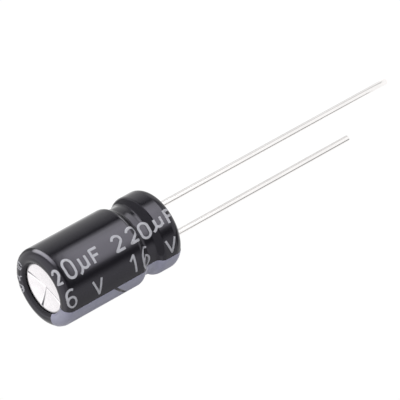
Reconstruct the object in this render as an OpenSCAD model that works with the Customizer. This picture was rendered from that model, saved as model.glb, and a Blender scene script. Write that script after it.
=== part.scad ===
// Radial aluminium electrolytic capacitor, 6.3 mm can, 220 microfarad 16 volt size.
// Millimetres. The origin is on the seating plane, midway between the two leads.
// The closed end of the can points along +Z and the leads run down along -Z.
// The long positive lead is at +X. The short negative lead and its stripe are at -X.

/* [Can] */
// Outside diameter of the drawn can
can_d = 6.3; // [5.8:0.05:8]
// Height of the sleeved body, from the seating plane to the crown
body_h = 11.64; // [10.8:0.05:15]
// Wall of the can
can_wall = 0.25; // [0.15:0.01:0.28]
// Radius of the shoulder at the closed end, over the sleeve
shoulder_r = 0.7; // [0.6:0.01:1]
// Radius of the crown's inner side, over the sleeve
crown_r = 0.5; // [0.42:0.01:0.55]
// Radius of the turned-in edge at the lead end, over the sleeve
edge_r = 0.76; // [0.6:0.01:0.9]
// How far the can's edge is curled round, from the wall towards the leads
curl_angle = 125; // [100:1:140]

/* [Bead] */
// Height of the bead's middle above the seating plane
bead_z = 2.95; // [2.8:0.05:3.6]
// Depth of the bead
bead_depth = 0.4; // [0.3:0.05:0.6]
// Radius where the wall bends into the bead, over the sleeve
bead_blend_r = 0.55; // [0.45:0.01:0.8]
// Radius between the bead's flank and its floor, over the sleeve
bead_root_r = 0.6; // [0.5:0.01:0.8]
// Length of the bead's straight floor
bead_floor = 0.6; // [0.1:0.05:0.7]

/* [Vent] */
// How far the crown turns down before the panel, measured round its arc
recess_angle = 68; // [60:1:88]
// Radius of the corner between the crown and the vent panel
recess_corner_r = 0.05; // [0.03:0.01:0.1]
// Radius of the panel's shallow dish
dish_r = 11.5; // [8:0.5:30]
// Depth of the three score lines pressed into the panel
score_depth = 0.08; // [0.04:0.01:0.12]
// Reach of each score line from the middle of the panel
score_reach = 1.95; // [1.2:0.05:2]
// Direction of the single score arm, seen from above
score_turn = 122; // [0:1:359]

/* [Sleeve] */
// Thickness of the shrunk sleeve
sleeve_t = 0.09; // [0.06:0.01:0.11]
// How far the sleeve wraps over the crown, measured round its arc
sleeve_lip_angle = 64; // [45:1:84]
// Width of the sleeve's flat ring on the seating plane
sleeve_ring = 0.25; // [0.15:0.05:0.4]

/* [Polarity stripe] */
// Angle that the stripe covers round the sleeve
stripe_angle = 54; // [40:1:90]
// Turn of the stripe's middle from the negative lead, towards the front
stripe_turn = 9; // [-20:1:20]
// Thickness of the printed film
ink_t = 0.02; // [0.01:0.005:0.03]
// Height of the arrow-shaped gap's point above the seating plane
arrow_z = 5.35; // [4.5:0.05:8]
// Rise of the gap from its point to the stripe's edges
arrow_rise = 1.4; // [1:0.1:2.5]
// Height of the gap itself
arrow_gap = 0.3; // [0.15:0.05:0.6]

/* [Leads] */
// Distance between the two leads
lead_pitch = 2.5; // [2.3:0.05:2.8]
// Diameter of the tinned wire
lead_d = 0.5; // [0.4:0.05:0.6]
// Diameter of the weld that joins each wire to its tab
weld_d = 0.84; // [0.8:0.02:0.94]
// How far the weld shows out of the seal's outer face
weld_show = 0.07; // [0.05:0.01:0.1]
// Length of the positive lead below the seating plane
anode_lead_len = 24.9; // [15:0.1:35]
// Length of the negative lead below the seating plane
cathode_lead_len = 19.1; // [12:0.1:30]

/* [Tabs] */
// Diameter of each tab's round stem
stem_d = 1.0; // [0.8:0.05:1.2]
// Thickness of each tab's flattened blade
tab_t = 0.2; // [0.12:0.01:0.25]
// Width of each tab's flattened blade, measured round the winding
tab_w = 1.6; // [1.2:0.1:1.8]
// Length of the blade beside its foil
tab_len = 4.6; // [3:0.1:5.2]
// Depth of the stem's lower end inside the seal
weld_depth = 0.85; // [0.5:0.05:1.4]

/* [End seal] */
// Set-back of the seal's outer face from the seating plane
seal_setback = 0.12; // [0.08:0.01:0.2]
// Height of the seal above the bead
seal_head = 0.35; // [0.2:0.05:0.6]
// Chamfer round the seal's inner face
seal_chamfer = 0.15; // [0.05:0.01:0.18]

/* [Winding] */
// Thickness of the etched anode foil
anode_foil_t = 0.1; // [0.08:0.01:0.12]
// Thickness of the cathode foil
cathode_foil_t = 0.05; // [0.03:0.01:0.07]
// Thickness of each separator paper
paper_t = 0.05; // [0.03:0.01:0.07]
// Thickness of the tape that closes the winding
tape_t = 0.05; // [0.03:0.01:0.08]
// Height of the stems between the seal and the winding
winding_lift = 0.4; // [0.3:0.05:0.8]
// How far the papers reach past the foils at both ends
paper_margin = 0.3; // [0.15:0.05:0.5]
// Space between the winding and the can's closed end
winding_headroom = 0.1; // [0.05:0.05:0.5]

/* [Fits] */
// Clearance between skins that are shrunk or pressed on
skin_fit = 0.01; // [0.01:0.005:0.02]
// Clearance of the seal round the stems and wires
seal_fit = 0.02; // [0.01:0.01:0.04]
// Clearance between the layers of the winding
layer_gap = 0.01; // [0.01:0.005:0.02]
// Clearance between the winding and the can
winding_fit = 0.06; // [0.03:0.01:0.15]

/* [Hidden] */

arc_steps = 10;
round_fn = 96;
tab_fn = 32;
thin = 0.01;

// Outside radius of the sleeved body, and the insets of the other skins from it
skin_r = can_d / 2 + skin_fit + sleeve_t;
can_inset = sleeve_t + skin_fit;
can_inner_inset = can_inset + can_wall;
seal_inset = can_inner_inset + skin_fit;

// Centres of the arcs that every skin of the body shares, as [radius, height]
shoulder_c = [skin_r - shoulder_r, body_h - shoulder_r];
crown_c = [shoulder_c.x, body_h - crown_r];
edge_c = [skin_r - edge_r, edge_r];

// The bead: on each side a blend arc runs into a root arc at bead_angle, and so to the floor
bead_reach = bead_blend_r + bead_root_r;
bead_angle = acos((bead_reach - bead_depth) / bead_reach);
bead_half = bead_reach * sin(bead_angle) + bead_floor / 2;
bead_root_x = skin_r - bead_depth + bead_root_r;

// The vent panel: a dish whose rim turns up into the crown, at the angle crown_end
crown_end = 90 + recess_angle;
corner_c = crown_c + (crown_r - can_inset + recess_corner_r) * [cos(crown_end), sin(crown_end)];
dish_z = corner_c.y + sqrt(pow(dish_r - recess_corner_r, 2) - pow(corner_c.x, 2));
dish_end = atan2(corner_c.y - dish_z, corner_c.x);
panel_z = dish_z - dish_r;

// Heights inside the can
weld_z = seal_setback + weld_depth;
seal_top = bead_z + bead_half + seal_head;
winding_z = seal_top + winding_lift;
paper_h = panel_z - can_wall - winding_headroom - winding_z;
foil_h = paper_h - 2 * paper_margin;

// The layers of the winding, each from its inner face, within one turn
turn_pitch = 2 * paper_t + anode_foil_t + cathode_foil_t + 4 * layer_gap;
anode_in = paper_t + layer_gap;
outer_paper_in = anode_in + anode_foil_t + layer_gap;
cathode_in = outer_paper_in + paper_t + layer_gap;

// The anode tab lies outside its foil one turn out, the cathode tab half a turn out
anode_phi = 360;
cathode_phi = 180;
core_r = lead_pitch / 2 - tab_t / 2 - outer_paper_in - turn_pitch * anode_phi / 360;
cathode_tab_in = core_r + turn_pitch * (cathode_phi / 360 + 1);
blade_half_angle = (tab_w / 2) / (lead_pitch / 2) * 180 / PI;

// The layers bulge over a tab by its thickness and fall back beside it
lift_full = blade_half_angle + 10;
lift_end = lift_full + 25;
lift_h = tab_t + layer_gap;

// The winding fills the can: its length follows from the room there is
turn_step = 10;
winding_r = can_d / 2 - can_wall - winding_fit;
winding_room = winding_r - core_r - lift_h - tape_t - layer_gap;
winding_end = turn_step * floor((winding_room / turn_pitch - 1) * 360 / turn_step);
foil_start = 100;
foil_end = winding_end - 30;
tape_turn = 340;

function on_arc(c, r, a) = c + r * [cos(a), sin(a)];

function arc(c, r, a0, a1) =
    [for (i = [0 : arc_steps]) on_arc(c, r, a0 + (a1 - a0) * i / arc_steps)];

function reversed(p) = [for (i = [len(p) - 1 : -1 : 0]) p[i]];

// Leaves out a point that repeats the one before it
function clean(p) =
    [for (i = [0 : len(p) - 1]) if (i == 0 || norm(p[i] - p[max(i - 1, 0)]) > 0.0005) p[i]];

// Bead and turned-in edge at a given inset from the sleeve's outside
function lower_side(inset, edge_end) = concat(
    arc([skin_r - bead_blend_r, bead_z + bead_half], bead_blend_r - inset, 0, -bead_angle),
    arc([bead_root_x, bead_z + bead_floor / 2], bead_root_r + inset, 180 - bead_angle, 180),
    arc([bead_root_x, bead_z - bead_floor / 2], bead_root_r + inset, 180, 180 + bead_angle),
    arc([skin_r - bead_blend_r, bead_z - bead_half], bead_blend_r - inset, bead_angle, 0),
    arc(edge_c, edge_r - inset, 0, edge_end)
);

// Crown from the angle crown_start, shoulder, wall and all that is below
function side(inset, crown_start, edge_end) = concat(
    arc(crown_c, max(crown_r - inset, 0.02), crown_start, 90),
    arc(shoulder_c, shoulder_r - inset, 90, 0),
    lower_side(inset, edge_end)
);

// Dished panel and its corner, from the axis outwards
function panel(inset) = concat(
    arc([0, dish_z], dish_r + inset - can_inset, -90, dish_end),
    arc(corner_c, recess_corner_r + inset - can_inset, dish_end, crown_end - 180)
);

// Eases from 1 over the tab to 0 beside it
function ease(x) = x * x * (3 - 2 * x);
function lift_share(a) =
    a <= lift_full ? 1 : a >= lift_end ? 0 : ease((lift_end - a) / (lift_end - lift_full));

// Rise of a layer over the tab at tab_phi; the turn's outer layers rise one turn earlier
function lift(phi, tab_phi, is_outer) =
    phi < tab_phi + (is_outer ? -180 : 180)
        ? 0
        : lift_h * lift_share(abs((phi - tab_phi + 180) % 360 - 180));

// Radius of a layer's face at the winding angle phi
function layer_r(phi, offset) =
    core_r + turn_pitch * phi / 360 + offset
    + lift(phi, anode_phi, offset >= outer_paper_in)
    + lift(phi, cathode_phi, false);

function polar(r, a) = r * [cos(a), sin(a)];

// One wound strip: out along its inner face and back along its outer face
module strip(offset, t, from, to, z, h) {
    translate([0, 0, z])
        linear_extrude(h)
            polygon(concat(
                [for (phi = [from : turn_step : to]) polar(layer_r(phi, offset), phi)],
                [for (phi = [to : -turn_step : from]) polar(layer_r(phi, offset) + t, phi)]
            ));
}

module sleeve() {
    lip = 90 + sleeve_lip_angle;
    ring_r = edge_c.x - sleeve_ring;
    color("#26272b")
        rotate_extrude($fn = round_fn)
            polygon(clean(concat(
                side(0, lip, -90),
                [[ring_r, 0], [ring_r, sleeve_t]],
                reversed(side(sleeve_t, lip, -90))
            )));
}

// Flat outline of the arrow-shaped gap: y across the stripe, z up
module arrow_outline() {
    half_w = skin_r * sin(stripe_angle / 2) + ink_t;
    rise = arrow_rise * half_w / (skin_r * sin(stripe_angle / 2));
    polygon([
        [0, arrow_z], [half_w, arrow_z + rise], [half_w, arrow_z + rise + arrow_gap],
        [0, arrow_z + arrow_gap], [-half_w, arrow_z + rise + arrow_gap], [-half_w, arrow_z + rise]
    ]);
}

module polarity_stripe() {
    film = -skin_fit / 2;
    lip = 90 + sleeve_lip_angle;
    color("#a3a2b8")
        rotate([0, 0, stripe_turn])
            difference() {
                rotate([0, 0, 180 - stripe_angle / 2])
                    rotate_extrude(angle = stripe_angle, $fn = round_fn)
                        polygon(clean(concat(
                            side(film - ink_t, lip, -60),
                            reversed(side(film, lip, -60))
                        )));
                translate([-skin_r - 1, 0, 0])
                    rotate([90, 0, 90])
                        linear_extrude(skin_r)
                            arrow_outline();
            }
}

// One V-shaped score line, from the middle of the panel outwards, on the slope of the dish
module score_line() {
    slope = asin(score_reach / 2 / dish_r);
    translate([0, 0, panel_z])
        rotate([0, -slope, 0])
            rotate([45, 0, 0])
                translate([-score_depth / 2, -score_depth / sqrt(2), -score_depth / sqrt(2)])
                    cube([score_reach, score_depth * sqrt(2), score_depth * sqrt(2)]);
}

module can() {
    color("#d9dadd")
        difference() {
            rotate_extrude($fn = round_fn)
                polygon(clean(concat(
                    panel(can_inset),
                    side(can_inset, crown_end, -curl_angle),
                    reversed(side(can_inner_inset, crown_end, -curl_angle)),
                    reversed(panel(can_inner_inset))
                )));
            for (a = [0, 90, -90])
                rotate([0, 0, score_turn + a])
                    score_line();
        }
}

// Stepped hole for one tab and its lead
module lead_hole() {
    translate([0, 0, -1])
        cylinder(d = weld_d + 2 * seal_fit, h = weld_z + 1, $fn = round_fn);
    translate([0, 0, weld_z - seal_fit])
        cylinder(d = stem_d + 2 * seal_fit, h = seal_top, $fn = round_fn);
}

module end_seal() {
    wall_r = skin_r - seal_inset;
    past_curl = on_arc(edge_c, edge_r - seal_inset, -curl_angle - 8);
    plug_r = edge_c.x - (edge_r - can_inset) * sin(curl_angle - 90) - 2 * seal_fit;
    color("#2b2b2c")
        difference() {
            rotate_extrude($fn = round_fn)
                polygon(clean(concat(
                    [[0, seal_top], [wall_r - seal_chamfer, seal_top]],
                    [[wall_r, seal_top - seal_chamfer]],
                    lower_side(seal_inset, -curl_angle),
                    [past_curl, [plug_r, past_curl.y]],
                    [[plug_r, seal_setback], [0, seal_setback]]
                )));
            for (x = [-lead_pitch / 2, lead_pitch / 2])
                translate([x, 0, 0])
                    lead_hole();
        }
}

// Straight tinned wire: its weld in the seal, then the free length down to its tip
module wire(x, below) {
    free_top = seal_setback - weld_show;
    color("#c3c3c6")
        translate([x, 0, 0]) {
            translate([0, 0, free_top])
                cylinder(d = weld_d, h = weld_z - free_top, $fn = round_fn);
            translate([0, 0, -below])
                cylinder(d = lead_d, h = below + free_top, $fn = round_fn);
        }
}

module anode_lead() {
    wire(lead_pitch / 2, anode_lead_len);
}

module cathode_lead() {
    wire(-lead_pitch / 2, cathode_lead_len);
}

// Outline of a blade that follows the winding outside the layer at the radius inner_r
module blade_outline(phi, inner_r) {
    function at(a, out) =
        polar(inner_r + turn_pitch * a / 360 + out, phi + a);
    polygon(concat(
        [for (i = [-4 : 4]) at(blade_half_angle * i / 4, 0)],
        [for (i = [4 : -1 : -4]) at(blade_half_angle * i / 4, tab_t)]
    ));
}

// Round stem in the seal, pressed flat above it into a blade beside the foil
module tab(phi, inner_r) {
    chamfer = (stem_d - weld_d) / 4;
    stem_top = seal_top + winding_lift / 4;
    blade_z = winding_z - winding_lift / 4;
    color("#c9cbce") {
        translate(concat(polar(lead_pitch / 2, phi), [0]))
            rotate_extrude($fn = round_fn)
                polygon([
                    [0, weld_z], [stem_d / 2 - chamfer, weld_z], [stem_d / 2, weld_z + chamfer],
                    [stem_d / 2, stem_top], [0, stem_top]
                ]);
        hull() {
            translate(concat(polar(lead_pitch / 2, phi), [stem_top - thin]))
                cylinder(d = stem_d, h = thin, $fn = tab_fn);
            translate([0, 0, blade_z])
                linear_extrude(thin)
                    blade_outline(phi, inner_r);
        }
        translate([0, 0, blade_z])
            linear_extrude(winding_z - blade_z + tab_len)
                blade_outline(phi, inner_r);
    }
}

module anode_tab() {
    tab(0, lead_pitch / 2 - tab_t / 2);
}

module cathode_tab() {
    tab(180, cathode_tab_in);
}

module anode_foil() {
    color("#8f9195")
        strip(anode_in, anode_foil_t, foil_start, foil_end, winding_z + paper_margin, foil_h);
}

module cathode_foil() {
    color("#b4b6ba")
        strip(cathode_in, cathode_foil_t, foil_start, foil_end, winding_z + paper_margin, foil_h);
}

module separator_inner() {
    color("#d8ccae")
        strip(0, paper_t, 0, winding_end, winding_z, paper_h);
}

module separator_outer() {
    color("#d8ccae")
        strip(outer_paper_in, paper_t, 0, winding_end, winding_z, paper_h);
}

module winding_tape() {
    start = winding_end + turn_step;
    color("#b58d55")
        strip(0, tape_t, start, start + tape_turn, winding_z, paper_h);
}

sleeve();
polarity_stripe();
can();
end_seal();
anode_lead();
cathode_lead();
anode_tab();
cathode_tab();
anode_foil();
cathode_foil();
separator_inner();
separator_outer();
winding_tape();
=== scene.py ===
"""Radial electrolytic capacitor: the finish of its pieces, the studio round it and the camera."""
import math

import bmesh
import bpy
from mathutils import Matrix, Vector


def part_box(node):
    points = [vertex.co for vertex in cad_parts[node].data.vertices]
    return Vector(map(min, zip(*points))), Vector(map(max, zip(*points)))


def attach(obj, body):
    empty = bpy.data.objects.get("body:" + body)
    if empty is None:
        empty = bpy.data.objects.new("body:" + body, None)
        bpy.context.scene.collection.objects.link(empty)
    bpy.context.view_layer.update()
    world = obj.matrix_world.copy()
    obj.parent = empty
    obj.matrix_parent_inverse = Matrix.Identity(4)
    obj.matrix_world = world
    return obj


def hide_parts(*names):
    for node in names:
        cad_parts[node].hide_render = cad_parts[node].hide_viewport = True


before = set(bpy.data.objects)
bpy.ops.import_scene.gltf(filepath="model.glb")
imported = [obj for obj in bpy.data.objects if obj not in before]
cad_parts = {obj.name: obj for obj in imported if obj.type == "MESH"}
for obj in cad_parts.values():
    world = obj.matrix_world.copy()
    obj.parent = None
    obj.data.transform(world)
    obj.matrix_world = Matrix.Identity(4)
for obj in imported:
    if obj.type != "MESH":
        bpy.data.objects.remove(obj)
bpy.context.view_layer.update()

MM = 0.001

# Sizes in millimetres, from the frame where it holds them, and angles in degrees
SKIN_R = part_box("sleeve")[1].x / MM
BODY_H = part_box("sleeve")[1].z / MM
LEAD_PITCH = (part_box("anode_lead")[0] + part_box("anode_lead")[1]).x / MM
ANODE_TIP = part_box("anode_lead")[0].z / MM
CATHODE_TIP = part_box("cathode_lead")[0].z / MM
WELD_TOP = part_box("anode_lead")[1].z / MM
SEAL_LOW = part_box("end_seal")[0].z / MM
SEAL_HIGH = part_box("end_seal")[1].z / MM

# Radii and insets of the body's shared outline
SHOULDER_R = 0.7
CROWN_R = 0.5
EDGE_R = 0.76
BEAD_Z = 2.95
BEAD_DEPTH = 0.4
BEAD_BLEND_R = 0.55
BEAD_ROOT_R = 0.6
BEAD_FLOOR = 0.6
SLEEVE_T = 0.09
SKIN_FIT = 0.01
CAN_WALL = 0.25
SLEEVE_LIP = 154
SLEEVE_RING = 0.25
CURL = 125

# The recessed vent panel
CROWN_END = 158
RECESS_CORNER_R = 0.05
DISH_R = 11.5
PANEL_SLACK = 0.01

# Score lines in the panel: arms that widen and deepen from the middle to SCORE_REACH
SCORE_TURN = 122
SCORE_REACH = 1.9
SCORE_END_R = 2.0
SCORE_HALF_W = 0.07
SCORE_FLARE = 0.07
SCORE_DEPTH = 0.035
SCORE_FALL = 0.05

# Each arm's turn, and how dark its painted shade is in the middle and at the rim, where the rim also
# sets its flare
SCORE_ARMS = ((0, 0.4, 1.0), (90, 0.75, 0.5), (-90, 0.0, 0.9))

# The ring of painted shade where the panel meets the crown
RIM_SHADE = 0.95
RIM_SHADE_W = 0.2
RIM_SHADE_FADE = 0.12

# Wire, weld and seal
LEAD_R = 0.25
WELD_R = 0.42
WELD_SHOW = 0.07
WELD_EDGE = 0.03
TIP_BURR = 0.03
SEAL_FIT = 0.02
SEAL_CHAMFER = 0.15
SEAL_EDGE = 0.05
PAST_CURL = 8

# Print on the sleeve
INK_H = 0.012
STRIPE_FOOT = 0.002
STRIPE_H = 0.02
STRIPE_ANGLE = 54
STRIPE_TURN = 9
STRIPE_END = -60
ARROW_Z = 5.35
ARROW_RISE = 1.4
ARROW_GAP = 0.3

CAN_INSET = SLEEVE_T + SKIN_FIT
CAN_INNER_INSET = CAN_INSET + CAN_WALL
SEAL_INSET = CAN_INNER_INSET + SKIN_FIT

# How finely the outlines are drawn: faces for each arc, and the least radius and step
BEND_STEPS = 14
SHOULDER_STEPS = 24
EDGE_STEPS = 22
CORNER_STEPS = 8
PANEL_STEPS = 90
UNDER_PANEL_STEPS = 10
WIRE_STEPS = 60
LEAST_R = 0.02
LEAST_STEP = 0.0005
FLAT_MARGIN = 0.04
MERGE_M = 1e-7

WHITE = (1, 1, 1, 1)


class Graph:
    """A node tree built by calls: each one adds a node and wires or sets its inputs."""

    def __init__(self, tree):
        self.tree = tree

    def add(self, kind, inputs=None, **settings):
        node = self.tree.nodes.new(kind)
        for name, value in settings.items():
            setattr(node, name, value)
        for key, value in (inputs or {}).items():
            socket = node.inputs[key]
            if isinstance(value, bpy.types.NodeSocket):
                self.tree.links.new(value, socket)
            else:
                socket.default_value = value
        return node

    def math(self, operation, *values):
        node = self.add("ShaderNodeMath", dict(enumerate(values)), operation=operation)
        return node.outputs[0]

    def link(self, source, target):
        self.tree.links.new(source, target)


# Outlines of the body, as lists of (radius, height) in millimetres


def on_arc(centre, radius, angle):
    a = math.radians(angle)
    return (centre[0] + radius * math.cos(a), centre[1] + radius * math.sin(a))


def arc(centre, radius, start, end, steps):
    return [on_arc(centre, radius, start + (end - start) * i / steps) for i in range(steps + 1)]


SHOULDER_C = (SKIN_R - SHOULDER_R, BODY_H - SHOULDER_R)
CROWN_C = (SHOULDER_C[0], BODY_H - CROWN_R)
EDGE_C = (SKIN_R - EDGE_R, EDGE_R)
BEAD_REACH = BEAD_BLEND_R + BEAD_ROOT_R
BEAD_ANGLE = math.degrees(math.acos((BEAD_REACH - BEAD_DEPTH) / BEAD_REACH))
BEAD_HALF = BEAD_REACH * math.sin(math.radians(BEAD_ANGLE)) + BEAD_FLOOR / 2
CORNER_C = on_arc(CROWN_C, CROWN_R - CAN_INSET + RECESS_CORNER_R, CROWN_END)
DISH_Z = CORNER_C[1] + math.sqrt((DISH_R - RECESS_CORNER_R) ** 2 - CORNER_C[0] ** 2)
DISH_END = math.degrees(math.atan2(CORNER_C[1] - DISH_Z, CORNER_C[0]))


def straight(radius, high, low):
    """Points that keep a straight stretch flat when its normals are smoothed."""
    middle = (high + low) / 2
    return [(radius, high - FLAT_MARGIN), (radius, middle), (radius, low + FLAT_MARGIN)]


def lower_side(inset, edge_end):
    """Bead, wall below it and turned-in edge, at an inset from the sleeve's outside."""
    wall_r = SKIN_R - inset
    floor_r = wall_r - BEAD_DEPTH
    blend_r = SKIN_R - BEAD_BLEND_R
    root_x = SKIN_R - BEAD_DEPTH + BEAD_ROOT_R
    root_r = BEAD_ROOT_R + inset
    floor_high = BEAD_Z + BEAD_FLOOR / 2
    floor_low = BEAD_Z - BEAD_FLOOR / 2
    return (
        arc((blend_r, BEAD_Z + BEAD_HALF), BEAD_BLEND_R - inset, 0, -BEAD_ANGLE, BEND_STEPS)
        + arc((root_x, floor_high), root_r, 180 - BEAD_ANGLE, 180, BEND_STEPS)
        + straight(floor_r, floor_high, floor_low)
        + arc((root_x, floor_low), root_r, 180, 180 + BEAD_ANGLE, BEND_STEPS)
        + arc((blend_r, BEAD_Z - BEAD_HALF), BEAD_BLEND_R - inset, BEAD_ANGLE, 0, BEND_STEPS)
        + straight(wall_r, BEAD_Z - BEAD_HALF, EDGE_R)
        + arc(EDGE_C, EDGE_R - inset, 0, edge_end, EDGE_STEPS)
    )


def side(inset, crown_start, edge_end):
    """The body's outline from the crown, over shoulder, wall and bead, to the edge."""
    return (
        arc(CROWN_C, max(CROWN_R - inset, LEAST_R), crown_start, 90, BEND_STEPS)
        + arc(SHOULDER_C, SHOULDER_R - inset, 90, 0, SHOULDER_STEPS)
        + straight(SKIN_R - inset, BODY_H - SHOULDER_R, BEAD_Z + BEAD_HALF)
        + lower_side(inset, edge_end)
    )


def panel(inset, steps):
    """The dished vent panel and its corner, from the axis outwards."""
    grown = inset - CAN_INSET
    dish = arc((0, DISH_Z), DISH_R + grown, -90, DISH_END, steps)
    corner = arc(CORNER_C, RECESS_CORNER_R + grown, DISH_END, CROWN_END - 180, CORNER_STEPS)
    return dish + corner


# Pieces from node trees


def put_in_scene(name, data):
    thing = bpy.data.objects.new(name, data)
    bpy.context.scene.collection.objects.link(thing)
    return thing


def outline_object(name, points):
    """A mesh of one chain of edges in the XZ plane, without repeated points."""
    kept = [points[0]]
    for point in points[1:]:
        if math.dist(point, kept[-1]) > LEAST_STEP:
            kept.append(point)
    mesh = bpy.data.meshes.new(name)
    edges = [(i, i + 1) for i in range(len(kept) - 1)]
    mesh.from_pydata([(r * MM, 0, z * MM) for r, z in kept], edges, [])
    return put_in_scene(name, mesh)


def new_geometry_tree(name, sockets):
    """A geometry tree with Geometry in and out and the named inputs that sockets lists."""
    tree = bpy.data.node_groups.new(name, "GeometryNodeTree")
    tree.interface.new_socket("Geometry", in_out="OUTPUT", socket_type="NodeSocketGeometry")
    tree.interface.new_socket("Geometry", in_out="INPUT", socket_type="NodeSocketGeometry")
    for label, kind in sockets.items():
        tree.interface.new_socket(label, in_out="INPUT", socket_type="NodeSocket" + kind)
    graph = Graph(tree)
    return graph, graph.add("NodeGroupInput").outputs, graph.add("NodeGroupOutput").inputs


def finish_tree(graph, mesh, given, out):
    """Ends the tree in plain geometry with its material."""
    real = graph.add("GeometryNodeRealizeInstances", {"Geometry": mesh})
    coated = graph.add(
        "GeometryNodeSetMaterial", {"Geometry": real.outputs[0], "Material": given["Material"]}
    )
    graph.link(coated.outputs[0], out["Geometry"])
    return graph.tree


def turned_tree():
    """Turns the outline that it is given round an upright axis."""
    graph, given, out = new_geometry_tree(
        "turned_part", {"Around": "Int", "Axis": "Vector", "Material": "Material"}
    )
    count = graph.add(
        "GeometryNodeAttributeDomainSize", {"Geometry": given["Geometry"]}, component="MESH"
    ).outputs["Point Count"]
    columns = graph.math("ADD", given["Around"], 1)
    grid = graph.add(
        "GeometryNodeMeshGrid",
        {"Size X": 1.0, "Size Y": 1.0, "Vertices X": columns, "Vertices Y": count},
    )
    index = graph.add("GeometryNodeInputIndex").outputs[0]
    half_on = graph.math("ADD", index, 0.5)
    column = graph.math("FLOOR", graph.math("DIVIDE", half_on, count))
    row = graph.math("SUBTRACT", index, graph.math("MULTIPLY", column, count))
    place = graph.add("GeometryNodeInputPosition").outputs[0]
    profile = graph.add(
        "GeometryNodeSampleIndex",
        {"Geometry": given["Geometry"], "Value": place, "Index": row},
        data_type="FLOAT_VECTOR",
    ).outputs[0]
    angle = graph.math("MULTIPLY", graph.math("DIVIDE", column, given["Around"]), math.tau)
    turned = graph.add(
        "ShaderNodeVectorRotate", {"Vector": profile, "Angle": angle}, rotation_type="Z_AXIS"
    ).outputs[0]
    moved = graph.add(
        "ShaderNodeVectorMath", {0: turned, 1: given["Axis"]}, operation="ADD"
    ).outputs[0]
    shaped = graph.add("GeometryNodeSetPosition", {"Geometry": grid.outputs[0], "Position": moved})
    joined = graph.add(
        "GeometryNodeMergeByDistance", {"Geometry": shaped.outputs[0], "Distance": MERGE_M}
    )
    return finish_tree(graph, joined.outputs[0], given, out)


def wrapped_tree():
    """Wraps flat print round the body: x runs along the outline, y round it and z off it."""
    graph, given, out = new_geometry_tree(
        "wrapped_print", {"Outline": "Object", "Body radius": "Float", "Material": "Material"}
    )
    info = graph.add("GeometryNodeObjectInfo", {"Object": given["Outline"]})
    curve = graph.add("GeometryNodeMeshToCurve", {"Mesh": info.outputs["Geometry"]}).outputs[0]
    place = graph.add("GeometryNodeInputPosition").outputs[0]
    flat = graph.add("ShaderNodeSeparateXYZ", {"Vector": place}).outputs
    sampled = graph.add(
        "GeometryNodeSampleCurve", {"Curves": curve, "Length": flat["X"]}, mode="LENGTH"
    )
    tangent = graph.add("ShaderNodeSeparateXYZ", {"Vector": sampled.outputs["Tangent"]}).outputs
    outwards = graph.add(
        "ShaderNodeCombineXYZ",
        {"X": graph.math("MULTIPLY", tangent["Z"], -1.0), "Z": tangent["X"]},
    ).outputs[0]
    raised = graph.add(
        "ShaderNodeVectorMath", {0: outwards, "Scale": flat["Z"]}, operation="SCALE"
    ).outputs[0]
    lifted = graph.add(
        "ShaderNodeVectorMath", {0: sampled.outputs["Position"], 1: raised}, operation="ADD"
    ).outputs[0]
    angle = graph.math("ADD", graph.math("DIVIDE", flat["Y"], given["Body radius"]), math.pi)
    turned = graph.add(
        "ShaderNodeVectorRotate", {"Vector": lifted, "Angle": angle}, rotation_type="Z_AXIS"
    ).outputs[0]
    shaped = graph.add(
        "GeometryNodeSetPosition", {"Geometry": given["Geometry"], "Position": turned}
    )
    return finish_tree(graph, shaped.outputs[0], given, out)


def stroke_tree():
    """Draws a flat ribbon of ink with round ends along each chain of edges."""
    least_radius = 0.05
    graph, given, out = new_geometry_tree(
        "ink_strokes",
        {"Width": "Float", "Height": "Float", "Step": "Float", "Material": "Material"},
    )
    curve = graph.add("GeometryNodeMeshToCurve", {"Mesh": given["Geometry"]}).outputs[0]
    even = graph.add(
        "GeometryNodeResampleCurve", {"Curve": curve, "Length": given["Step"]}, mode="LENGTH"
    ).outputs[0]
    done = graph.add("GeometryNodeSplineParameter").outputs["Length"]
    total = graph.add("GeometryNodeSplineLength").outputs["Length"]
    to_end = graph.math("MINIMUM", done, graph.math("SUBTRACT", total, done))
    share = graph.math("DIVIDE", to_end, graph.math("MULTIPLY", given["Width"], 0.5))
    inside = graph.math("SUBTRACT", 1.0, graph.math("MINIMUM", share, 1.0))
    squared = graph.math("MULTIPLY", inside, inside)
    rounded = graph.math("SQRT", graph.math("SUBTRACT", 1.0, squared))
    closed = graph.add("GeometryNodeInputSplineCyclic").outputs[0]
    radius = graph.math("MAXIMUM", graph.math("MAXIMUM", rounded, closed), least_radius)
    thick = graph.add("GeometryNodeSetCurveRadius", {"Curve": even, "Radius": radius}).outputs[0]
    upright = graph.add("GeometryNodeSetCurveNormal", {"Curve": thick}, mode="Z_UP").outputs[0]
    section = graph.add(
        "GeometryNodeCurvePrimitiveQuadrilateral",
        {"Width": given["Width"], "Height": given["Height"]},
    ).outputs[0]
    ribbon = graph.add(
        "GeometryNodeCurveToMesh",
        {"Curve": upright, "Profile Curve": section, "Fill Caps": True},
    ).outputs[0]
    return finish_tree(graph, ribbon, given, out)


TREES = {"turned": turned_tree(), "wrapped": wrapped_tree(), "strokes": stroke_tree()}


def run_tree(thing, kind, **values):
    """The plain mesh that the tree makes of the object, whose own mesh it replaces."""
    modifier = thing.modifiers.new(kind, "NODES")
    modifier.node_group = TREES[kind]
    wanted = {name.replace("_", " ").capitalize(): value for name, value in values.items()}
    for item in TREES[kind].interface.items_tree:
        if item.in_out == "INPUT" and item.name in wanted:
            modifier[item.identifier] = wanted[item.name]
    graph = bpy.context.evaluated_depsgraph_get()
    mesh = bpy.data.meshes.new_from_object(thing.evaluated_get(graph))
    thing.modifiers.remove(modifier)
    thing.data = mesh
    return mesh


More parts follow.
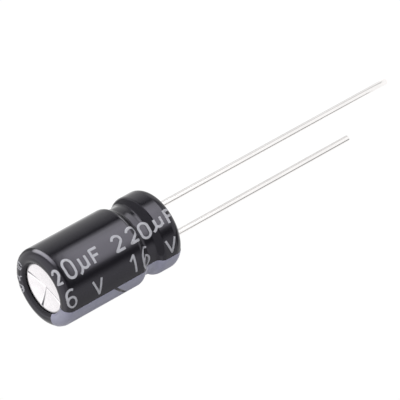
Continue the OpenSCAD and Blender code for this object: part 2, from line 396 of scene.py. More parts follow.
def tidy_normals(mesh, sharp=40):
    """Points the faces of a closed shell outwards, and smooths all but its sharp edges."""
    shell = bmesh.new()
    shell.from_mesh(mesh)
    bmesh.ops.remove_doubles(shell, verts=shell.verts, dist=MERGE_M)
    bmesh.ops.recalc_face_normals(shell, faces=shell.faces)
    shell.to_mesh(mesh)
    shell.free()
    mesh.shade_smooth()
    mesh.set_sharp_from_angle(angle=math.radians(sharp))


def turned_piece(name, points, material, around, axis_x=0.0):
    """A piece turned from an outline, with so many faces around its axis."""
    thing = outline_object(name, points)
    mesh = run_tree(
        thing, "turned", around=around, axis=(axis_x * MM, 0, 0), material=material
    )
    tidy_normals(mesh)
    return thing


def belong(thing, slot, *nodes):
    """The piece stands for the CAD nodes, which it hides, and hangs from the root body; slot is not
    used.
    """
    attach(thing, "root")
    if nodes:
        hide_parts(*nodes)


# Materials


def new_material(name):
    material = bpy.data.materials.new(name)
    material.use_nodes = True
    material.node_tree.nodes.clear()
    return material, Graph(material.node_tree)


def object_point(graph, scale=(1, 1, 1)):
    """The point on the piece in metres, squeezed by scale along each axis."""
    place = graph.add("ShaderNodeTexCoord").outputs["Object"]
    return graph.add("ShaderNodeMapping", {"Vector": place, "Scale": scale}).outputs[0]


def ramp(graph, value, start, end, low=0.0, high=1.0):
    """A value that goes from low at start to high at end, and stays there."""
    inputs = {"Value": value, "From Min": start, "From Max": end, "To Min": low, "To Max": high}
    return graph.add("ShaderNodeMapRange", inputs).outputs[0]


def speckle(graph, size_mm, low=0.0, high=1.0, detail=3.0, stretch=(1, 1, 1)):
    """A noise value that runs from low to high, with spots of about size_mm."""
    noise_low, noise_high = 0.3, 0.7
    point = object_point(graph, stretch)
    noise = graph.add(
        "ShaderNodeTexNoise", {"Vector": point, "Scale": 1 / (size_mm * MM), "Detail": detail}
    )
    return ramp(graph, noise.outputs["Fac"], noise_low, noise_high, low, high)


def between(graph, share, dark, light):
    """A colour that runs from dark to light with the share."""
    mix = graph.add("ShaderNodeMix", {"Factor": share}, data_type="RGBA")
    mix.inputs["A"].default_value = (*dark, 1)
    mix.inputs["B"].default_value = (*light, 1)
    return mix.outputs["Result"]


def finish_material(graph, colour, roughness, bumps=(), **sockets):
    """A Principled surface; bumps are (height, distance in mm, strength), laid on each other."""
    normal = None
    for height, depth_mm, strength in bumps:
        inputs = {"Height": height, "Distance": depth_mm * MM, "Strength": strength}
        if normal:
            inputs["Normal"] = normal
        normal = graph.add("ShaderNodeBump", inputs).outputs[0]
    inputs = {"Base Color": colour, "Roughness": roughness, **sockets}
    if normal:
        inputs["Normal"] = normal
    shader = graph.add("ShaderNodeBsdfPrincipled", inputs)
    output = graph.add("ShaderNodeOutputMaterial")
    graph.link(shader.outputs[0], output.inputs["Surface"])


def from_axis_and_height(graph):
    """Distance from the part's axis and height, in metres."""
    place = graph.add("ShaderNodeSeparateXYZ", {"Vector": object_point(graph)}).outputs
    flat = graph.add("ShaderNodeCombineXYZ", {"X": place["X"], "Y": place["Y"]}).outputs[0]
    length = graph.add("ShaderNodeVectorMath", {0: flat}, operation="LENGTH").outputs["Value"]
    return length, place["Z"]


def sleeve_film():
    """Glossy black film. Where its cut edge dips into the recess of the vent, it is rougher and painted
    darker as shade.
    """
    material, graph = new_material("black_shrink_film")
    radius, height = from_axis_and_height(graph)
    dip_starts = (CROWN_C[0] - 0.2) * MM
    dip_is_full = (CROWN_C[0] - 0.3) * MM
    crown_starts = (BODY_H - 1) * MM
    dipped = ramp(graph, radius, dip_starts, dip_is_full)
    recess_shade_and_matt = graph.math("MULTIPLY", dipped, graph.math("GREATER_THAN", height, crown_starts))
    cloud = speckle(graph, 2.2)
    colour = between(graph, cloud, (0.0122, 0.0115, 0.0150), (0.0152, 0.0145, 0.0185))
    # Painted shade: the film in the vent's recess takes a darker colour
    recess_shaded_colour = graph.add("ShaderNodeMix", {"Factor": recess_shade_and_matt, "A": colour}, data_type="RGBA")
    recess_shaded_colour.inputs["B"].default_value = (0.006, 0.006, 0.007, 1)
    roughness = graph.math("ADD", speckle(graph, 0.6, 0.08, 0.12), graph.math("MULTIPLY", recess_shade_and_matt, 0.5))
    waves = speckle(graph, 1.4, detail=2.0)
    grain = speckle(graph, 0.12, detail=2.0)
    bumps = ((waves, 0.012, 0.2), (grain, 0.0015, 0.2))
    shine = {"IOR": 1.42, "Specular IOR Level": 0.57, "Specular Tint": (0.90, 0.87, 1.0, 1.0)}
    finish_material(graph, recess_shaded_colour.outputs["Result"], roughness, bumps, **shine)
    return material


def stripe_ink():
    material, graph = new_material("lavender_grey_ink")
    cloud = speckle(graph, 0.9)
    colour = between(graph, cloud, (0.40, 0.40, 0.53), (0.45, 0.45, 0.58))
    roughness = speckle(graph, 0.3, 0.3, 0.4)
    bumps = ((speckle(graph, 0.1), 0.002, 0.25),)
    finish_material(graph, colour, roughness, bumps, IOR=1.42)
    return material


def print_ink():
    material, graph = new_material("light_grey_ink")
    cloud = speckle(graph, 0.25)
    colour = between(graph, cloud, (0.46, 0.46, 0.50), (0.55, 0.55, 0.60))
    finish_material(graph, colour, speckle(graph, 0.2, 0.35, 0.5), IOR=1.42)
    return material


def drawn_aluminium():
    """Bright aluminium with fine turned rings, painted dark as shade in the score grooves and in the
    ring where the panel meets the crown.
    """
    material, graph = new_material("drawn_aluminium")
    cloud = speckle(graph, 0.5)
    plain = between(graph, cloud, (0.89, 0.86, 0.88), (0.95, 0.92, 0.94))
    # Painted shade: the metal turns dark where the score attribute is high
    painted_shade_share = graph.add("ShaderNodeAttribute", attribute_name="score").outputs["Fac"]
    metal_with_painted_shade = graph.add("ShaderNodeMix", {"Factor": painted_shade_share, "A": plain}, data_type="RGBA")
    metal_with_painted_shade.inputs["B"].default_value = (0.10, 0.10, 0.11, 1)
    ring_mm = 0.05
    radius = from_axis_and_height(graph)[0]
    rings = graph.add(
        "ShaderNodeTexNoise",
        {"W": radius, "Scale": 1 / (ring_mm * MM), "Detail": 2.0},
        noise_dimensions="1D",
    ).outputs["Fac"]
    bumps = ((rings, 0.0005, 0.15), (speckle(graph, 0.15), 0.001, 0.1))
    roughness = speckle(graph, 0.3, 0.24, 0.30)
    finish_material(graph, metal_with_painted_shade.outputs["Result"], roughness, bumps, Metallic=1.0)
    return material


def tinned_wire():
    """Bright tin, with faint lines and clouds drawn out along the wire."""
    material, graph = new_material("bright_tin")
    cloud = speckle(graph, 0.6, stretch=(1, 1, 0.25))
    colour = between(graph, cloud, (0.90, 0.88, 0.87), (0.96, 0.94, 0.93))
    draw_lines = speckle(graph, 0.06, detail=2.0, stretch=(1, 1, 0.05))
    roughness = speckle(graph, 0.4, 0.12, 0.18, stretch=(1, 1, 0.3))
    finish_material(graph, colour, roughness, ((draw_lines, 0.0006, 0.1),), Metallic=1.0)
    return material


def black_rubber():
    material, graph = new_material("black_rubber")
    cloud = speckle(graph, 0.4)
    colour = between(graph, cloud, (0.012, 0.012, 0.012), (0.024, 0.024, 0.025))
    bumps = ((speckle(graph, 0.15, detail=5.0), 0.01, 0.4),)
    finish_material(graph, colour, speckle(graph, 0.3, 0.55, 0.75), bumps)
    return material


def foil(name, dark, light):
    material, graph = new_material(name)
    colour = between(graph, speckle(graph, 0.08, detail=6.0), dark, light)
    bumps = ((speckle(graph, 0.03, detail=6.0), 0.002, 0.5),)
    finish_material(graph, colour, speckle(graph, 0.2, 0.5, 0.65), bumps, Metallic=1.0)
    return material


def separator_paper():
    material, graph = new_material("separator_paper")
    fibres = speckle(graph, 0.2, detail=6.0, stretch=(1, 1, 0.3))
    colour = between(graph, fibres, (0.58, 0.47, 0.30), (0.74, 0.64, 0.46))
    finish_material(graph, colour, 0.8, ((fibres, 0.004, 0.5),))
    return material


def brown_tape():
    material, graph = new_material("brown_tape")
    colour = between(graph, speckle(graph, 0.7), (0.40, 0.22, 0.07), (0.50, 0.29, 0.10))
    bumps = ((speckle(graph, 0.5), 0.004, 0.3),)
    finish_material(graph, colour, speckle(graph, 0.4, 0.25, 0.4), bumps)
    return material


FILM = sleeve_film()
STRIPE = stripe_ink()
PRINT = print_ink()
ALUMINIUM = drawn_aluminium()
TIN = tinned_wire()
RUBBER = black_rubber()
TAB = foil("pressed_tab", (0.66, 0.66, 0.67), (0.80, 0.80, 0.81))

NODE_FINISHES = {
    "anode_tab": TAB,
    "cathode_tab": TAB,
    "anode_foil": foil("etched_anode_foil", (0.20, 0.20, 0.21), (0.36, 0.36, 0.37)),
    "cathode_foil": foil("etched_cathode_foil", (0.42, 0.42, 0.43), (0.60, 0.60, 0.61)),
    "separator_inner": separator_paper(),
    "separator_outer": separator_paper(),
    "winding_tape": brown_tape(),
    "sleeve": FILM,
    "polarity_stripe": STRIPE,
    "can": ALUMINIUM,
    "end_seal": RUBBER,
    "anode_lead": TIN,
    "cathode_lead": TIN,
}
for node_name, finish in NODE_FINISHES.items():
    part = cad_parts[node_name].data
    part.materials.clear()
    part.materials.append(finish)

# Sleeve: outside, flat ring at the lead end, inside, and the rounded lip on the crown

ring_r = EDGE_C[0] - SLEEVE_RING
sleeve_outside = side(0, SLEEVE_LIP, -90) + [(ring_r, 0)]
sleeve_inside = [(ring_r, SLEEVE_T)] + side(SLEEVE_T, SLEEVE_LIP, -90)[::-1]
lip_c = on_arc(CROWN_C, CROWN_R - SLEEVE_T / 2, SLEEVE_LIP)
lip = arc(lip_c, SLEEVE_T / 2, SLEEVE_LIP + 180, SLEEVE_LIP, CORNER_STEPS)
sleeve_outline = sleeve_outside + sleeve_inside + lip
sleeve = turned_piece("shrink_sleeve", sleeve_outline, FILM, around=256)
belong(sleeve, "sleeve", "sleeve")

# Can: vent panel, recess, shoulder, bead and curled edge, with the score pressed into the panel


def press_score(mesh):
    """Lowers the panel along three arms, and notes how much painted shade each point of the metal
    takes.
    """
    arms = [
        (math.radians(SCORE_TURN + turn), centre, rim) for turn, centre, rim in SCORE_ARMS
    ]
    shade_noted = mesh.attributes.new("score", "FLOAT", "POINT").data
    for vertex in mesh.vertices:
        x, y, z = (c / MM for c in vertex.co)
        radius = math.hypot(x, y)
        # Painted shade in the ring where the panel meets the crown
        if z > panel_low and radius < CROWN_C[0]:
            into_rim = (radius - CORNER_C[0] + RIM_SHADE_W) / RIM_SHADE_FADE
            shade_noted[vertex.index].value = RIM_SHADE * min(max(into_rim, 0), 1)
        if radius > SCORE_END_R or z < panel_low - PANEL_SLACK:
            continue
        for a, centre, rim in arms:
            run = x * math.cos(a) + y * math.sin(a)
            off = abs(y * math.cos(a) - x * math.sin(a))
            share = min(max(run / SCORE_REACH, 0), 1)
            half_width = SCORE_HALF_W + SCORE_FLARE * rim * share * share
            depth = SCORE_DEPTH + SCORE_FALL * share * share
            if run > -half_width and off < half_width:
                across = 1 - off / half_width
                vertex.co.z -= depth * across * MM
                # Painted shade along the groove, darkest on its middle line
                shade_noted[vertex.index].value = (centre + (rim - centre) * share) * min(1, 2 * across)
                break


panel_low = DISH_Z - DISH_R
can_inside = side(CAN_INNER_INSET, CROWN_END, -CURL)[::-1]

# Every second point is enough for the inside of the can
can_inside = can_inside[:1] + can_inside[1:-1:2] + can_inside[-1:]
can_outline = (
    panel(CAN_INSET, PANEL_STEPS)
    + side(CAN_INSET, CROWN_END, -CURL)
    + can_inside
    + panel(CAN_INNER_INSET, UNDER_PANEL_STEPS)[::-1]
)
can = turned_piece("drawn_can", can_outline, ALUMINIUM, around=300)
press_score(can.data)
belong(can, "can", "can")

# End seal with its two stepped holes


def seal_outline():
    """The bung: chamfered inside the can, squeezed by the bead, and a plug inside the curl."""
    past_curl = on_arc(EDGE_C, EDGE_R - SEAL_INSET, -CURL - PAST_CURL)
    tuck = math.sin(math.radians(CURL - 90))
    plug_r = EDGE_C[0] - (EDGE_R - CAN_INSET) * tuck - 2 * SEAL_FIT
    wall_r = SKIN_R - SEAL_INSET
    return (
        [(0, SEAL_HIGH), (wall_r - SEAL_CHAMFER, SEAL_HIGH), (wall_r, SEAL_HIGH - SEAL_CHAMFER)]
        + lower_side(SEAL_INSET, -CURL)
        + [past_curl, (plug_r, past_curl[1]), (plug_r, SEAL_LOW + SEAL_EDGE)]
        + [(plug_r - SEAL_EDGE, SEAL_LOW), (0, SEAL_LOW)]
    )


def drill(thing, x):
    """Cuts the stepped hole for one weld and tab stem."""
    stem_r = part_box("anode_tab")[1].x / MM - LEAD_PITCH / 2 + SEAL_FIT
    step_z = WELD_TOP - SEAL_FIT
    weld_r = WELD_R + SEAL_FIT
    below = SEAL_LOW - 1
    above = SEAL_HIGH + 1
    tool_outline = [
        (0, below), (weld_r, below), (weld_r, step_z), (stem_r, step_z), (stem_r, above), (0, above),
    ]
    tool = turned_piece("drill", tool_outline, RUBBER, around=64, axis_x=x)
    cut = thing.modifiers.new("hole", "BOOLEAN")
    cut.operation = "DIFFERENCE"
    cut.solver = "EXACT"
    cut.object = tool
    graph = bpy.context.evaluated_depsgraph_get()
    mesh = bpy.data.meshes.new_from_object(thing.evaluated_get(graph))
    thing.modifiers.remove(cut)
    thing.data = mesh
    bpy.data.objects.remove(tool)


seal = turned_piece("rubber_seal", seal_outline(), RUBBER, around=128)
for hole_x in (-LEAD_PITCH / 2, LEAD_PITCH / 2):
    drill(seal, hole_x)
belong(seal, "seal", "end_seal")

# Leads: the weld that shows out of the seal, then plain wire to a sheared tip


def wire_outline(tip):
    """Weld, shaft with evenly spaced rings, and a tip with a small burr."""
    free_top = SEAL_LOW - WELD_SHOW
    length = free_top - tip
    weld = [
        (0, WELD_TOP), (WELD_R, WELD_TOP), (WELD_R, free_top + WELD_EDGE),
        (WELD_R - WELD_EDGE, free_top),
    ]
    shaft = [(LEAD_R, free_top - length * i / WIRE_STEPS) for i in range(WIRE_STEPS)]
    return weld + shaft + [(LEAD_R, tip + TIP_BURR), (LEAD_R - TIP_BURR, tip), (0, tip)]


for lead_name, tip, lead_x, node_name in (
    ("positive_lead", ANODE_TIP, LEAD_PITCH / 2, "anode_lead"),
    ("negative_lead", CATHODE_TIP, -LEAD_PITCH / 2, "cathode_lead"),
):
    lead = turned_piece(lead_name, wire_outline(tip), TIN, around=48, axis_x=lead_x)
    belong(lead, "tinned_wire", node_name)

# Print: flat shapes that are wrapped on the sleeve, x along its outline from the lip

body_line = outline_object("body_line", side(0, SLEEVE_LIP, -90))
WALL_TOP_S = math.radians(90) * SHOULDER_R + math.radians(SLEEVE_LIP - 90) * CROWN_R
STRIPE_HALF = math.radians(STRIPE_ANGLE / 2) * SKIN_R
STRIPE_MIDDLE = math.radians(STRIPE_TURN) * SKIN_R
STRIPE_COLUMNS = 36


def wrap(thing, material):
    mesh = run_tree(
        thing, "wrapped", outline=body_line, body_radius=SKIN_R * MM, material=material
    )
    tidy_normals(mesh, sharp=60)


def paint_stripe(name, low_edge, high_edge, rows):
    """A thin solid between two edges that are given as x for each y, wrapped on the sleeve."""
    columns = STRIPE_COLUMNS
    shell = bmesh.new()
    grid = []
    for z in (STRIPE_FOOT, STRIPE_H):
        layer = []
        for i in range(columns + 1):
            y = -STRIPE_HALF + 2 * STRIPE_HALF * i / columns
            low, high = low_edge(y), high_edge(y)
            line = [
                ((low + (high - low) * j / rows) * MM, (y + STRIPE_MIDDLE) * MM, z * MM)
                for j in range(rows + 1)
            ]
            layer.append([shell.verts.new(point) for point in line])
        grid.append(layer)
    for layer in grid:
        for i in range(columns):
            for j in range(rows):
                near, far = layer[i], layer[i + 1]
                shell.faces.new((near[j], far[j], far[j + 1], near[j + 1]))
    rim = [(i, 0) for i in range(columns)] + [(columns, j) for j in range(rows)]
    rim += [(i, rows) for i in range(columns, 0, -1)] + [(0, j) for j in range(rows, 0, -1)]
    for k, (i, j) in enumerate(rim):
        m, n = rim[(k + 1) % len(rim)]
        shell.faces.new((grid[0][i][j], grid[0][m][n], grid[1][m][n], grid[1][i][j]))
    mesh = bpy.data.meshes.new(name)
    shell.to_mesh(mesh)
    shell.free()
    thing = put_in_scene(name, mesh)
    wrap(thing, STRIPE)
    belong(thing, "stripe_ink", "polarity_stripe")


def arrow_x(y):
    """Place along the outline of the arrow-shaped gap's lead-side edge, across the stripe."""
    rise = ARROW_RISE * abs(y) / STRIPE_HALF
    return WALL_TOP_S + SHOULDER_C[1] - (ARROW_Z + rise)


stripe_line = side(0, SLEEVE_LIP, STRIPE_END)
stripe_length = sum(math.dist(a, b) for a, b in zip(stripe_line, stripe_line[1:]))
paint_stripe("closed_end_stripe", lambda y: 0.0, lambda y: arrow_x(y) - ARROW_GAP, rows=90)
paint_stripe("lead_end_stripe", arrow_x, lambda y: stripe_length, rows=120)

# Rating marks: plain numbers and units drawn with strokes in a unit height

STROKE_W = 0.21
THIN_STROKE_W = 0.18
SMALL_STROKE_W = 0.14
STROKE_STEP = 0.04

# Strokes that cross lie at slightly different heights, so that no two faces share a place
STROKE_LAYER = 0.0012
STROKE_SLOPE = 0.0006

# Height in degrees and width of the small marks, and how much higher their u stands for its tail
SMALL_TALL = 14
SMALL_WIDE = 0.85
U_LIFT = 1.5


def bow(cx, cy, rx, ry, start, end, steps=16):
    """Points of an elliptic arc."""
    return [
        (
            cx + rx * math.cos(math.radians(start + (end - start) * i / steps)),
            cy + ry * math.sin(math.radians(start + (end - start) * i / steps)),
        )
        for i in range(steps + 1)
    ]


GLYPHS = {
    "0": [bow(0.3, 0.7, 0.3, 0.3, 180, 0) + bow(0.3, 0.3, 0.3, 0.3, 0, -180) + [(0.0, 0.7)]],
    "1": [[(0.0, 0.74), (0.26, 1.0), (0.26, 0.0)]],
    "2": [bow(0.3, 0.69, 0.3, 0.31, 165, -35) + [(0.0, 0.0), (0.62, 0.0)]],
    "5": [[(0.56, 1.0), (0.1, 1.0), (0.05, 0.55)] + bow(0.29, 0.33, 0.3, 0.33, 125, -145)],
    "6": [
        bow(0.36, 0.66, 0.34, 0.34, 55, 180, 12)
        + [(0.02, 0.32)]
        + bow(0.31, 0.3, 0.29, 0.3, 180, 525, 24)
    ],
    "C": [bow(0.34, 0.5, 0.34, 0.5, 50, 310)],
    "F": [[(0.6, 1.0), (0.0, 1.0), (0.0, 0.0)], [(0.0, 0.52), (0.48, 0.52)]],
    "V": [[(0.0, 1.0), (0.3, 0.0), (0.6, 1.0)]],
    "degree": [bow(0.15, 0.85, 0.14, 0.14, 0, 360, 12)],
    "u": [
        [(0.1, 0.72), (0.1, 0.1), (-0.02, -0.1), (-0.16, -0.22)],
        bow(0.32, 0.24, 0.22, 0.24, 180, 360) + [(0.54, 0.72)],
        [(0.54, 0.72), (0.54, 0.0)],
    ],
}


def write_marks(name, marks, stroke_w):
    """One piece of ink: each mark is (glyph, x, foot angle, top angle, width)."""
    points, edges = [], []
    layer = 0.0
    for glyph, x, foot, top, wide in marks:
        foot_y = math.radians(foot) * SKIN_R
        tall = math.radians(top - foot) * SKIN_R
        for stroke in GLYPHS[glyph]:
            first = len(points)
            for k, (across, up) in enumerate(stroke):
                rise = INK_H / 2 + layer + STROKE_SLOPE * k / len(stroke)
                points.append(((x + across * wide) * MM, (foot_y + up * tall) * MM, rise * MM))
            edges += [(i, i + 1) for i in range(first, len(points) - 1)]
            layer = STROKE_LAYER - layer
    mesh = bpy.data.meshes.new(name)
    mesh.from_pydata(points, edges, [])
    thing = put_in_scene(name, mesh)
    run_tree(
        thing, "strokes", width=stroke_w * MM, height=INK_H * MM, step=STROKE_STEP * MM,
        material=PRINT,
    )
    wrap(thing, PRINT)
    belong(thing, "stripe_ink")


def small_row(foot, places):
    """Small marks on one line, each given as (glyph, x)."""
    return [
        (glyph, x, foot + (U_LIFT if glyph == "u" else 0), foot + SMALL_TALL, SMALL_WIDE)
        for glyph, x in places
    ]


write_marks(
    "capacitance_marks",
    [
        ("2", 0.85, 84, 105, 0.75), ("0", 1.90, 83.5, 110, 1.33), ("u", 3.21, 87, 109, 1.36),
        ("F", 4.50, 86, 105, 1.17),
        ("2", 6.60, 85, 105.5, 1.29), ("2", 8.05, 85.5, 106, 1.50), ("0", 9.50, 81, 105, 1.33),
        ("u", 10.76, 87.5, 104, 1.36), ("F", 12.05, 85, 103, 1.0),
    ],
    STROKE_W,
)
write_marks(
    "voltage_marks",
    [
        ("6", 1.13, 45, 71, 1.22), ("V", 3.65, 43, 65, 1.42), ("1", 7.35, 45, 71, 1.54),
        ("6", 8.52, 40, 71, 1.60), ("V", 11.10, 45, 65.5, 1.50),
    ],
    THIN_STROKE_W,
)
write_marks(
    "temperature_marks",
    small_row(196, (
        ("5", 0.36), ("C", 1.05), ("1", 4.0), ("0", 4.6), ("5", 5.35), ("degree", 6.05), ("C", 6.45),
    )),
    SMALL_STROKE_W,
)
write_marks(
    "back_rating_marks",
    small_row(226, (
        ("u", 0.42), ("F", 1.15), ("2", 3.6), ("2", 4.35), ("0", 5.1), ("u", 5.85), ("F", 6.6),
    ))
    + small_row(244, (("6", 0.36), ("V", 1.15), ("1", 4.0), ("6", 4.6), ("V", 5.75))),
    SMALL_STROKE_W,
)
bpy.data.objects.remove(body_line)

# Camera, fitted to the body in the photograph: from the front and above, turned on its side

VIEW_TILT = math.radians(59.41)
VIEW_ROLL = math.radians(28.98)
FRAME_PX = 400
FOCAL_PX = 4032
PX_PER_MM = 13.136
BODY_MIDDLE = Vector((0, 0, 5.87))
BODY_MIDDLE_PX = (98.70, 258.02)
SENSOR_MM = 36
CLIP_START_M = 0.01

forward = Vector((0, math.sin(VIEW_TILT), -math.cos(VIEW_TILT)))
flat_right = Vector((1, 0, 0))
flat_up = flat_right.cross(forward)
right = -math.sin(VIEW_ROLL) * flat_right - math.cos(VIEW_ROLL) * flat_up
up = right.cross(forward)
middle_x = (BODY_MIDDLE_PX[0] - FRAME_PX / 2) / PX_PER_MM
middle_y = (FRAME_PX / 2 - BODY_MIDDLE_PX[1]) / PX_PER_MM
eye = BODY_MIDDLE - right * middle_x - up * middle_y - forward * (FOCAL_PX / PX_PER_MM)

camera_data = bpy.data.cameras.new("photo_camera")
camera_data.sensor_width = SENSOR_MM
camera_data.lens = FOCAL_PX / FRAME_PX * SENSOR_MM
camera_data.clip_start = CLIP_START_M
camera = put_in_scene("photo_camera", camera_data)
camera.matrix_world = Matrix((
    (right.x, up.x, -forward.x, eye.x * MM),
    (right.y, up.y, -forward.y, eye.y * MM),
    (right.z, up.z, -forward.z, eye.z * MM),
    (0, 0, 0, 1),
))
bpy.context.scene.camera = camera

# Studio: a pale floor under the longer lead's tip, and cards that the glossy film mirrors

FLOOR_REACH_M = 3.0
FLOOR_GLOW = 0.92
BANDS_FROM = 2
BANDS_TO = 44
BAND_FADE = 6

# Heading, half width and depth of each dark band on the floor
FLOOR_BANDS = ((-154, 14, 0.75), (-26, 9, 0.42), (45, 28, 0.35))

# Places of the cards in millimetres, and their strengths, where 1 is white
FRONT_R = 29
SIDE_R = 8
FLANK_Z = 2.2
TOP_Z = 70
TOP_CENTRE = (18, 10)
SHADE_Z = BEAD_Z + BEAD_HALF + 0.15
FRONT_GLOW = 4.7
SIDE_GLOW = 9.0
TOP_GLOW = 1.75
SHADE_GLOW = 0.5

# A card hides what is behind it from a quarter of its full light on
COVER_GAIN = 4

# The key lamp, seen from the middle of the body
KEY_DIRECTION = (0.45, -0.75, 0.5)
KEY_DISTANCE = 200
KEY_SIZE = 140
KEY_RADIANCE = 3.5

SKY_GLOW = 0.36
BACKGROUND_GLOW = 1.0


def seen_directly(graph):
    """1 for camera, mirror and see-through rays, which show the background's own white."""
    path = graph.add("ShaderNodeLightPath").outputs
    either = graph.math("MAXIMUM", path["Is Camera Ray"], path["Is Glossy Ray"])
    return graph.math("MAXIMUM", either, path["Is Transmission Ray"])


def floor_material():
    """White, with the part's shadow, and clear from below.

    Darker bands that only mirror rays see draw the wires' edges.
    """
    material, graph = new_material("pale_floor")
    white = graph.add("ShaderNodeBsdfDiffuse", {"Color": (0.8, 0.8, 0.8, 1)}).outputs[0]
    faint = graph.add("ShaderNodeBsdfDiffuse", {"Color": (0.2, 0.2, 0.2, 1)}).outputs[0]
    place = graph.add("ShaderNodeSeparateXYZ", {"Vector": object_point(graph)}).outputs
    heading = graph.math("ARCTAN2", place["Y"], place["X"])
    from_axis = from_axis_and_height(graph)[0]
    near = graph.math("LESS_THAN", from_axis, BANDS_TO * MM)
    clear_of_tips = graph.math("GREATER_THAN", from_axis, BANDS_FROM * MM)
    banded = graph.math("MULTIPLY", near, clear_of_tips)
    mirror_ray = graph.add("ShaderNodeLightPath").outputs["Is Glossy Ray"]
    mirrored = graph.math("MULTIPLY", banded, mirror_ray)
    level = FLOOR_GLOW
    for middle, half, depth in FLOOR_BANDS:
        off = graph.math("ABSOLUTE", graph.math("SUBTRACT", heading, math.radians(middle)))
        fade_from, full_from = math.radians(half + BAND_FADE), math.radians(half)
        band = ramp(graph, off, fade_from, full_from, high=depth)
        level = graph.math("SUBTRACT", level, graph.math("MULTIPLY", band, mirrored))
    glow = graph.add("ShaderNodeEmission", {"Color": WHITE, "Strength": level}).outputs[0]
    shown = graph.add("ShaderNodeAddShader", {0: faint, 1: glow}).outputs[0]
    seen = seen_directly(graph)
    mixed = graph.add("ShaderNodeMixShader", {0: seen, 1: white, 2: shown}).outputs[0]
    below = graph.add("ShaderNodeNewGeometry").outputs["Backfacing"]
    clear = graph.add("ShaderNodeBsdfTransparent").outputs[0]
    one_sided = graph.add("ShaderNodeMixShader", {0: below, 1: mixed, 2: clear})
    output = graph.add("ShaderNodeOutputMaterial")
    graph.link(one_sided.outputs[0], output.inputs["Surface"])
    return material


def add_floor():
    mesh = bpy.data.meshes.new("floor")
    low = ANODE_TIP * MM
    corners = [
        (x * FLOOR_REACH_M, y * FLOOR_REACH_M, low) for x, y in ((-1, -1), (1, -1), (1, 1), (-1, 1))
    ]
    mesh.from_pydata(corners, [], [(0, 1, 2, 3)])
    mesh.materials.append(floor_material())
    put_in_scene("floor", mesh)


def along(value, *knots):
    """The height over value of a line through the knots, flat before the first and past the last."""
    if value <= knots[0][0]:
        return knots[0][1]
    for (x0, y0), (x1, y1) in zip(knots, knots[1:]):
        if value <= x1:
            return y0 + (y1 - y0) * (value - x0) / (x1 - x0)
    return knots[-1][1]


def add_card(name, rows, strength, one_sided=False):
    """A sheet that only mirror rays see, and a one-sided one only those that meet its back.

    Each corner in rows is (x, y, z, glow, cover).
    """
    corners = [corner for row in rows for corner in row]
    wide = len(rows[0])
    faces = [
        (j * wide + i, j * wide + i + 1, (j + 1) * wide + i + 1, (j + 1) * wide + i)
        for j in range(len(rows) - 1) for i in range(wide - 1)
    ]
    mesh = bpy.data.meshes.new(name)
    mesh.from_pydata([(x * MM, y * MM, z * MM) for x, y, z, glow, cover in corners], [], faces)
    for label, index in (("glow", 3), ("cover", 4)):
        layer = mesh.attributes.new(label, "FLOAT", "POINT")
        layer.data.foreach_set("value", [corner[index] for corner in corners])
    material, graph = new_material(name)
    glow = graph.add("ShaderNodeAttribute", attribute_name="glow").outputs["Fac"]
    cover = graph.add("ShaderNodeAttribute", attribute_name="cover").outputs["Fac"]
    if one_sided:
        shown_side = graph.add("ShaderNodeNewGeometry").outputs["Backfacing"]
        cover = graph.math("MULTIPLY", cover, shown_side)
    light = graph.add("ShaderNodeEmission", {"Strength": graph.math("MULTIPLY", glow, strength)})
    clear = graph.add("ShaderNodeBsdfTransparent")
    shown = graph.add("ShaderNodeMixShader", {0: cover, 1: clear.outputs[0], 2: light.outputs[0]})
    output = graph.add("ShaderNodeOutputMaterial")
    graph.link(shown.outputs[0], output.inputs["Surface"])
    mesh.materials.append(material)
    sheet = put_in_scene(name, mesh)
    sheet.visible_camera = False
    sheet.visible_diffuse = False
    sheet.visible_shadow = False
    sheet.visible_transmission = False


def drum(radius, headings, heights, light):
    """Corners of an upright drum round the body; light gives glow and cover at a heading and z."""
    return [
        [
            (radius * math.cos(math.radians(h)), radius * math.sin(math.radians(h)), z, *light(h, z))
            for h in headings
        ]
        for z in heights
    ]


def disc(centre, z, radii, headings, light):
    """Corners of a level disc or ring; light gives glow and cover at a heading and radius."""
    return [
        [
            (
                centre[0] + r * math.cos(math.radians(h)),
                centre[1] + r * math.sin(math.radians(h)),
                z, *light(h, r),
            )
            for h in headings
        ]
        for r in radii
    ]


def steps(first, last, step):
    """Evenly spaced values from first to last, about a step apart, rising or falling."""
    count = round(abs(last - first) / step)
    return [first + (last - first) * i / count for i in range(count + 1)]


def front_light(heading, z):
    """The softbox that lights the front of the wall, in a dark surround."""
    lit = along(
        heading, (246, 0), (251, 0.05), (255, 0.16), (260, 0.5), (266, 0.78), (274, 0.92), (306, 1),
        (312, 1), (320, 0.87), (326, 0.78), (330, 0.5), (336, 0.14), (340, 0),
    )
    dark = along(
        heading, (130, 0), (150, 0.4), (172, 0.4), (196, 0.2), (214, 0), (222, 0), (228, 0.2),
        (232, 0.5), (240, 0.93), (326, 1), (340, 0.9), (344, 0.75), (350, 0.5), (360, 0.3), (374, 0.15),
        (406, 0.2), (420, 0),
    )
    dark_to = along(heading, (290, 10), (314, -2.5))
    clear_from = along(heading, (290, 18), (314, -0.5))
    tall = along(z, (-16, 0), (-14.8, 1), (dark_to, 1), (clear_from, 0))
    beside = along(heading, (378, 0), (392, 0.65), (425, 0.65), (440, 0))
    level = along(z, (-3, 0), (-1, 1), (9, 1), (14, 0))
    behind = along(heading, (82, 0), (96, 0.8), (130, 0.75), (150, 0)) * along(z, (-3, 1), (0, 0))
    return lit * along(z, (-3.8, 1), (-3.3, 0)), max(dark * tall, beside * level, behind)


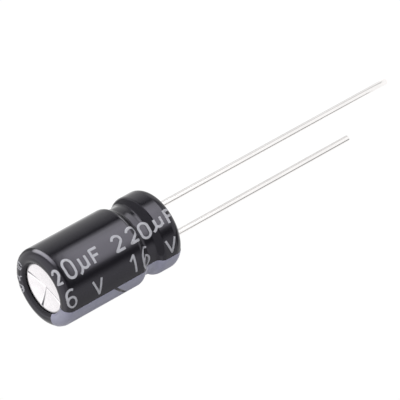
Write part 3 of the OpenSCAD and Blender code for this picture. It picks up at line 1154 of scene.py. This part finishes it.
def side_light(heading, z):
    """The softbox that draws the bright crescent on the shoulder."""
    lit = along(
        heading, (293, 0), (304, 0.3), (316, 0.8), (331, 1), (350, 0.95), (363, 0.75), (369, 0.4),
        (374, 0.1), (380, 0),
    )
    tall = along(
        z, (8.6, 0), (8.9, 0.4), (9.4, 0.7), (10, 0.95), (11.2, 1), (12.1, 0.95), (12.5, 0.7),
        (12.8, 0.4), (13.4, 0.1), (14, 0),
    )
    return lit * tall, min(1, COVER_GAIN * lit * tall)


def flank_light(heading, radius):
    """A low ring that the bead's upper flank mirrors, so that the wall's light fades into it."""
    lit = along(heading, (292, 0.75), (322, 0.75), (334, 0))
    wide = along(radius, (3.75, 0), (3.95, 1), (4.7, 1), (5.0, 0))
    return lit * wide, min(1, COVER_GAIN * lit * wide)


def top_light(heading, radius):
    """The overhead light, with a gap behind it that the vent panel and the crown mirror."""
    gap = along(heading, (68, 0), (88, 1), (118, 1), (138, 0)) * along(radius, (34, 0), (50, 1))
    return 1, along(radius, (30, 1), (60, 0.75), (95, 0)) * (1 - gap)


def bead_shade(heading, radius):
    """A dim card above the bead, which its lower flank mirrors in place of the bright ones."""
    return 1, along(radius, (50, 1), (60, 0))


def add_key_lamp():
    """A square soft lamp that faces the body."""
    data = bpy.data.lights.new("key_lamp", "AREA")
    data.shape = "SQUARE"
    data.size = KEY_SIZE * MM
    data.energy = KEY_RADIANCE * math.pi * (KEY_SIZE * MM) ** 2
    lamp = put_in_scene("key_lamp", data)
    where = BODY_MIDDLE + Vector(KEY_DIRECTION).normalized() * KEY_DISTANCE
    lamp.location = where * MM
    lamp.rotation_mode = "QUATERNION"
    lamp.rotation_quaternion = (BODY_MIDDLE - where).to_track_quat("-Z", "Y")
    lamp.visible_camera = False
    lamp.visible_glossy = False


front_card = drum(FRONT_R, steps(80, 440, 2), steps(-16, 18.2, 0.6), front_light)
side_card = drum(SIDE_R, steps(293, 380, 3), steps(8.6, 14, 0.2), side_light)
flank_card = disc((0, 0), FLANK_Z, steps(3.75, 5, 0.1), steps(292, 336, 4), flank_light)
top_card = disc(TOP_CENTRE, TOP_Z, steps(0.5, 95, 10), steps(0, 360, 10), top_light)
shade_card = disc((0, 0), SHADE_Z, steps(60, 3.4, 8), steps(200, 400, 5), bead_shade)

add_floor()
add_card("front_softbox", front_card, FRONT_GLOW)
add_card("side_softbox", side_card, SIDE_GLOW)
add_card("flank_card", flank_card, FRONT_GLOW, one_sided=True)
add_card("top_softbox", top_card, TOP_GLOW)
add_card("bead_shade", shade_card, SHADE_GLOW, one_sided=True)
add_key_lamp()

world = bpy.data.worlds.new("studio_air")
bpy.context.scene.world = world
world.use_nodes = True
world.node_tree.nodes.clear()
air = Graph(world.node_tree)
sky = air.add("ShaderNodeBackground", {"Color": WHITE, "Strength": SKY_GLOW}).outputs[0]
direct = air.add("ShaderNodeBackground", {"Color": WHITE, "Strength": BACKGROUND_GLOW}).outputs[0]
blend = air.add("ShaderNodeMixShader", {0: seen_directly(air), 1: sky, 2: direct})
air_output = air.add("ShaderNodeOutputWorld")
air.link(blend.outputs[0], air_output.inputs["Surface"])

bpy.context.scene.view_settings.view_transform = "Standard"
